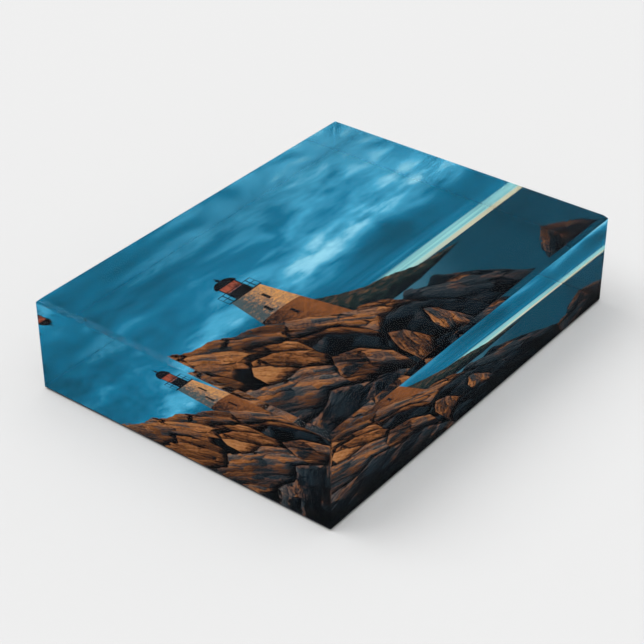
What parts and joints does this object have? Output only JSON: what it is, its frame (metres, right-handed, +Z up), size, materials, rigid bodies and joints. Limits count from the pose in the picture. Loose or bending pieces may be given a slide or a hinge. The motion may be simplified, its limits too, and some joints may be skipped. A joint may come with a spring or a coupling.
{
  "type": "paperweight",
  "caption": "Thick clear glass block paperweight with bevelled top edges, a printed seascape picture bonded under the glass and a thin dark felt pad on the base.",
  "frame": {"origin": "middle of the base pad's underside, on the surface that the paperweight stands on", "axes": "+Z up through the glass; +X along the long side, from the picture's left to its right; +Y from the picture's lower edge to its upper edge"},
  "size_m": [0.1016, 0.0762, 0.0226],
  "materials": {
    "clear_glass": "polished",
    "clear_adhesive": "clear",
    "printed_paper": "glossy print",
    "pad_adhesive": "matte",
    "dark_felt": "pressed felt"
  },
  "bodies": {
    "root": {"glass_block": "clear_glass", "print_bond_film": "clear_adhesive", "picture_print": "printed_paper", "pad_adhesive_film": "pad_adhesive", "base_pad": "dark_felt"}
  },
  "joints": []
}
